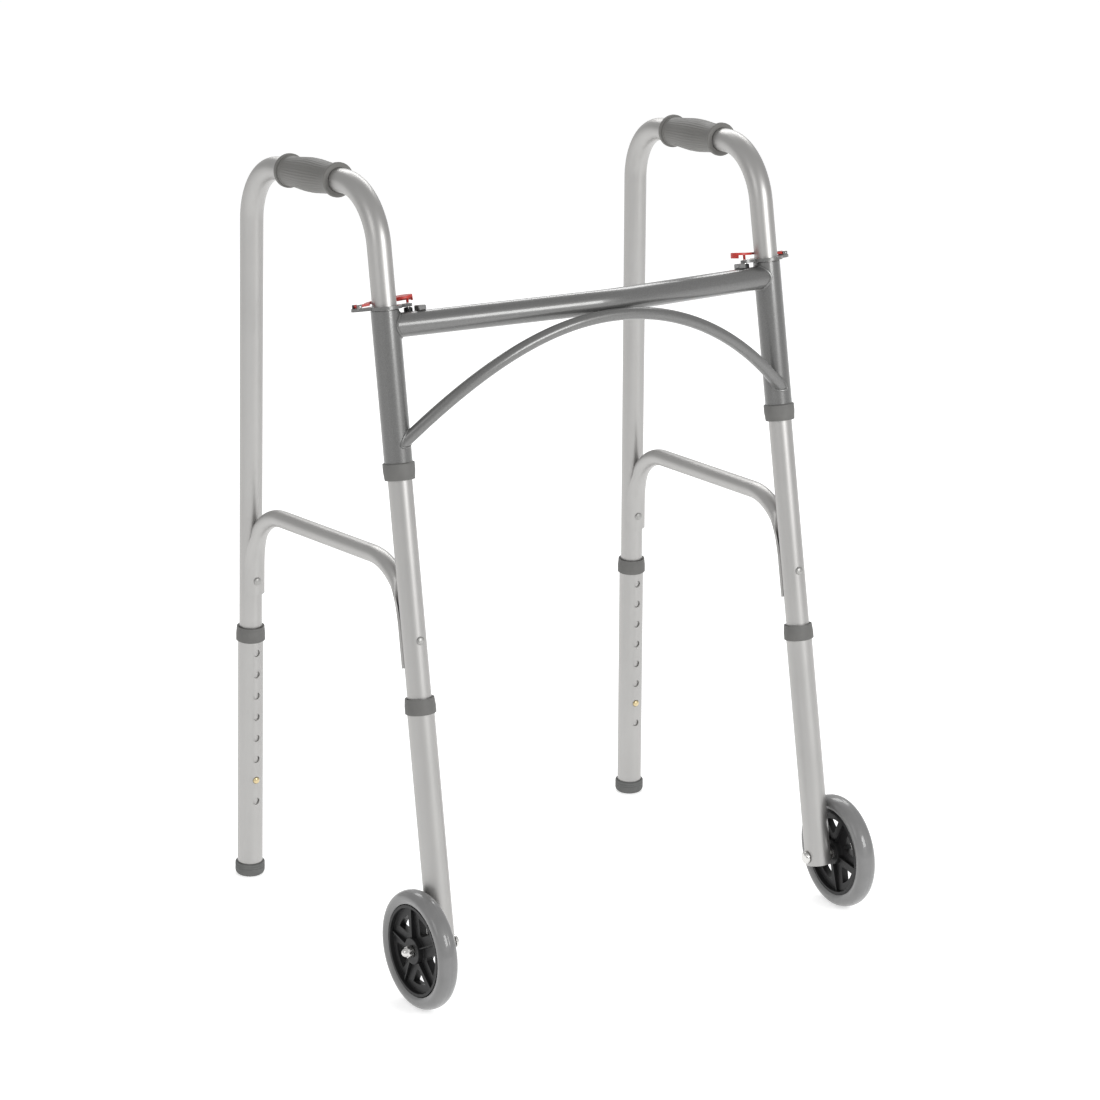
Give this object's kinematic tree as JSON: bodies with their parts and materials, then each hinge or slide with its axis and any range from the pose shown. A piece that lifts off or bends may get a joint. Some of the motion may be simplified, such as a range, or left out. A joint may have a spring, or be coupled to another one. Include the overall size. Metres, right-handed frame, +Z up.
{
  "type": "walking frame",
  "caption": "Folding walking frame of bent tube, with front wheels, rubber-tipped rear legs, an arched crossbar, red release levers and height-adjustable legs.",
  "frame": {"origin": "on the floor, at the middle of the overall length and width", "axes": "+Z up, +Y to the rear where the user walks, -Y to the wheels, -X to the left side"},
  "size_m": [0.5772, 0.4977, 0.8529],
  "materials": {
    "anodised_aluminium": "satin anodised",
    "grey_metallic_paint": "gloss metallic grey",
    "grey_plastic": "moulded",
    "grip_vinyl": "soft, finely ribbed",
    "black_plastic": "moulded",
    "red_plastic": "moulded",
    "grey_rubber": "moulded",
    "grey_tyre": "smooth",
    "bright_steel": "zinc-plated"
  },
  "bodies": {
    "front_frame": {"crossbar": "grey_metallic_paint", "arch_brace": "grey_metallic_paint", "hinge_sleeve_left": "grey_metallic_paint", "sleeve_collar_left": "grey_plastic", "pin_housing_left": "black_plastic", "pin_spring_left": "bright_steel", "lever_stop_left": "grey_metallic_paint", "hinge_sleeve_right": "grey_metallic_paint", "sleeve_collar_right": "grey_plastic", "pin_housing_right": "black_plastic", "pin_spring_right": "bright_steel", "lever_stop_right": "grey_metallic_paint"},
    "side_left": {"side_tube_left": "anodised_aluminium", "side_brace_left": "anodised_aluminium", "rear_brace_rivet_left": "bright_steel", "front_brace_rivet_left": "bright_steel", "grip_left": "grip_vinyl", "lock_plate_left": "grey_metallic_paint", "lever_pivot_left": "bright_steel", "rear_snap_clip_left": "bright_steel", "front_snap_clip_left": "bright_steel"},
    "lock_pin_left": {"lock_pin_left": "bright_steel"},
    "lever_left": {"release_lever_left": "red_plastic"},
    "rear_button_left": {"rear_snap_button_left": "bright_steel"},
    "front_button_left": {"front_snap_button_left": "bright_steel"},
    "rear_leg_left": {"rear_leg_left": "anodised_aluminium", "rear_collar_left": "grey_plastic", "rear_tip_left": "grey_rubber"},
    "front_leg_left": {"front_leg_left": "anodised_aluminium", "front_collar_left": "grey_plastic", "axle_bolt_left": "bright_steel", "axle_nut_left": "bright_steel", "axle_washer_left": "bright_steel"},
    "wheel_left": {"tyre_left": "grey_tyre", "wheel_hub_left": "black_plastic", "wheel_bush_left": "bright_steel"},
    "side_right": {"side_tube_right": "anodised_aluminium", "side_brace_right": "anodised_aluminium", "rear_brace_rivet_right": "bright_steel", "front_brace_rivet_right": "bright_steel", "grip_right": "grip_vinyl", "lock_plate_right": "grey_metallic_paint", "lever_pivot_right": "bright_steel", "rear_snap_clip_right": "bright_steel", "front_snap_clip_right": "bright_steel"},
    "lock_pin_right": {"lock_pin_right": "bright_steel"},
    "lever_right": {"release_lever_right": "red_plastic"},
    "rear_button_right": {"rear_snap_button_right": "bright_steel"},
    "front_button_right": {"front_snap_button_right": "bright_steel"},
    "rear_leg_right": {"rear_leg_right": "anodised_aluminium", "rear_collar_right": "grey_plastic", "rear_tip_right": "grey_rubber"},
    "front_leg_right": {"front_leg_right": "anodised_aluminium", "front_collar_right": "grey_plastic", "axle_bolt_right": "bright_steel", "axle_nut_right": "bright_steel", "axle_washer_right": "bright_steel"},
    "wheel_right": {"tyre_right": "grey_tyre", "wheel_hub_right": "black_plastic", "wheel_bush_right": "bright_steel"}
  },
  "joints": [
    {"name": "fold_left", "type": "hinge", "parent": "front_frame", "child": "side_left", "pos_m": [-0.2411, -0.1965, 0], "axis": [0.0077, 0.1783, 0.9839], "range_deg": [-90, 0]},
    {"name": "lever_press_left", "type": "hinge", "parent": "side_left", "child": "lever_left", "pos_m": [-0.26287, -0.05809, 0.72076], "axis": [-0.0408, 0.9832, -0.1778], "range_deg": [0, 4.2], "stiffness_Nm_per_rad": 5, "springref_deg": -1.72},
    {"name": "lock_pin_draw_left", "type": "slide", "parent": "front_frame", "child": "lock_pin_left", "axis": [-0.0077, -0.1783, -0.9839], "range_m": [0, 0.0042], "deforming": ["pin_spring_left"]},
    {"name": "rear_button_press_left", "type": "slide", "parent": "side_left", "child": "rear_button_left", "axis": [-0.0384, 0.999, 0.0245], "range_m": [0, 0.0038], "stiffness_N_per_m": 900, "springref_m": -0.0015, "deforming": ["rear_snap_clip_left"]},
    {"name": "rear_leg_slide_left", "type": "slide", "parent": "side_left", "child": "rear_leg_left", "axis": [-0.0158, 0.0239, -0.9996], "range_m": [0, 0.1524]},
    {"name": "front_button_press_left", "type": "slide", "parent": "side_left", "child": "front_button_left", "axis": [0.0408, -0.9832, 0.1778], "range_m": [0, 0.0038], "stiffness_N_per_m": 900, "springref_m": -0.0015, "deforming": ["front_snap_clip_left"]},
    {"name": "front_leg_slide_left", "type": "slide", "parent": "side_left", "child": "front_leg_left", "axis": [-0.0077, -0.1783, -0.9839], "range_m": [0, 0.1524]},
    {"name": "wheel_spin_left", "type": "hinge", "parent": "front_leg_left", "child": "wheel_left", "pos_m": [-0.26728, -0.1861, 0.06349], "axis": [-0.9991, -0.0387, 0.0149], "continuous": true},
    {"name": "fold_right", "type": "hinge", "parent": "front_frame", "child": "side_right", "pos_m": [0.2411, -0.1965, 0], "axis": [-0.0077, 0.1783, 0.9839], "range_deg": [0, 90]},
    {"name": "lever_press_right", "type": "hinge", "parent": "side_right", "child": "lever_right", "pos_m": [0.26287, -0.05809, 0.72076], "axis": [-0.0408, -0.9832, 0.1778], "range_deg": [0, 4.2], "stiffness_Nm_per_rad": 5, "springref_deg": -1.72},
    {"name": "lock_pin_draw_right", "type": "slide", "parent": "front_frame", "child": "lock_pin_right", "axis": [0.0077, -0.1783, -0.9839], "range_m": [0, 0.0042], "deforming": ["pin_spring_right"]},
    {"name": "rear_button_press_right", "type": "slide", "parent": "side_right", "child": "rear_button_right", "axis": [0.0384, 0.999, 0.0245], "range_m": [0, 0.0038], "stiffness_N_per_m": 900, "springref_m": -0.0015, "deforming": ["rear_snap_clip_right"]},
    {"name": "rear_leg_slide_right", "type": "slide", "parent": "side_right", "child": "rear_leg_right", "axis": [0.0158, 0.0239, -0.9996], "range_m": [0, 0.1524]},
    {"name": "front_button_press_right", "type": "slide", "parent": "side_right", "child": "front_button_right", "axis": [-0.0408, -0.9832, 0.1778], "range_m": [0, 0.0038], "stiffness_N_per_m": 900, "springref_m": -0.0015, "deforming": ["front_snap_clip_right"]},
    {"name": "front_leg_slide_right", "type": "slide", "parent": "side_right", "child": "front_leg_right", "axis": [0.0077, -0.1783, -0.9839], "range_m": [0, 0.1524]},
    {"name": "wheel_spin_right", "type": "hinge", "parent": "front_leg_right", "child": "wheel_right", "pos_m": [0.26728, -0.1861, 0.06349], "axis": [0.9991, -0.0387, 0.0149], "continuous": true}
  ],
  "couplings": [
    {"joint": "lock_pin_draw_left", "follows": "lever_press_left", "m_per_rad": 0.054605},
    {"joint": "lock_pin_draw_right", "follows": "lever_press_right", "m_per_rad": 0.054605}
  ]
}
